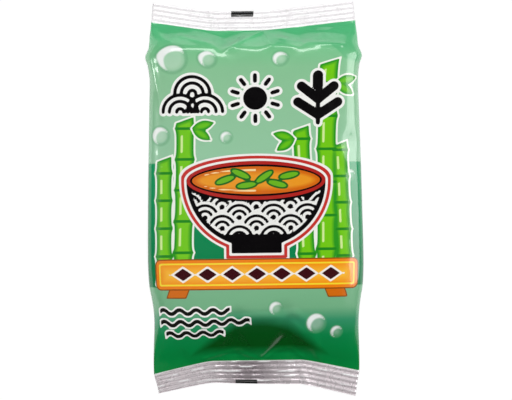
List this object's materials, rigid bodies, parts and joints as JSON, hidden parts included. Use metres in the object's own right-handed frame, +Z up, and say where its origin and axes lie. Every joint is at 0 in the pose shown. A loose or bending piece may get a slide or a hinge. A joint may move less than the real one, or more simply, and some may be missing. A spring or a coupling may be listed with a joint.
{
  "type": "sealed packet of dried wakame",
  "caption": "Sealed plastic-film pillow packet of dried cut seaweed, with ribbed end seals, a folded back seam and loose crinkled flakes inside.",
  "frame": {"origin": "on the resting plane, under the middle of the packet's bounding box", "axes": "+X across the packet, to the right of its printed front; +Y along it towards its top edge; +Z up, out of its printed front"},
  "size_m": [0.0956, 0.175, 0.0184],
  "materials": {
    "printed_film": "glossy printed laminate",
    "dried_seaweed": "matt, dry and crinkled"
  },
  "bodies": {
    "root": {"film_pouch": "printed_film", "wakame_flake_01": "dried_seaweed", "wakame_flake_02": "dried_seaweed", "wakame_flake_03": "dried_seaweed", "wakame_flake_04": "dried_seaweed", "wakame_flake_05": "dried_seaweed", "wakame_flake_06": "dried_seaweed", "wakame_flake_07": "dried_seaweed", "wakame_flake_08": "dried_seaweed", "wakame_flake_09": "dried_seaweed", "wakame_flake_10": "dried_seaweed", "wakame_flake_11": "dried_seaweed", "wakame_flake_12": "dried_seaweed", "wakame_flake_13": "dried_seaweed", "wakame_flake_14": "dried_seaweed", "wakame_flake_15": "dried_seaweed", "wakame_flake_16": "dried_seaweed", "wakame_flake_17": "dried_seaweed", "wakame_flake_18": "dried_seaweed", "wakame_flake_19": "dried_seaweed", "wakame_flake_20": "dried_seaweed", "wakame_flake_21": "dried_seaweed", "wakame_flake_22": "dried_seaweed", "wakame_flake_23": "dried_seaweed", "wakame_flake_24": "dried_seaweed", "wakame_flake_25": "dried_seaweed", "wakame_flake_26": "dried_seaweed", "wakame_flake_27": "dried_seaweed", "wakame_flake_28": "dried_seaweed", "wakame_flake_29": "dried_seaweed", "wakame_flake_30": "dried_seaweed", "wakame_flake_31": "dried_seaweed", "wakame_flake_32": "dried_seaweed", "wakame_flake_33": "dried_seaweed", "wakame_flake_34": "dried_seaweed", "wakame_flake_35": "dried_seaweed", "wakame_flake_36": "dried_seaweed", "wakame_flake_37": "dried_seaweed", "wakame_flake_38": "dried_seaweed", "wakame_flake_39": "dried_seaweed", "wakame_flake_40": "dried_seaweed", "wakame_flake_41": "dried_seaweed", "wakame_flake_42": "dried_seaweed", "wakame_flake_43": "dried_seaweed", "wakame_flake_44": "dried_seaweed", "wakame_flake_45": "dried_seaweed"}
  },
  "joints": []
}
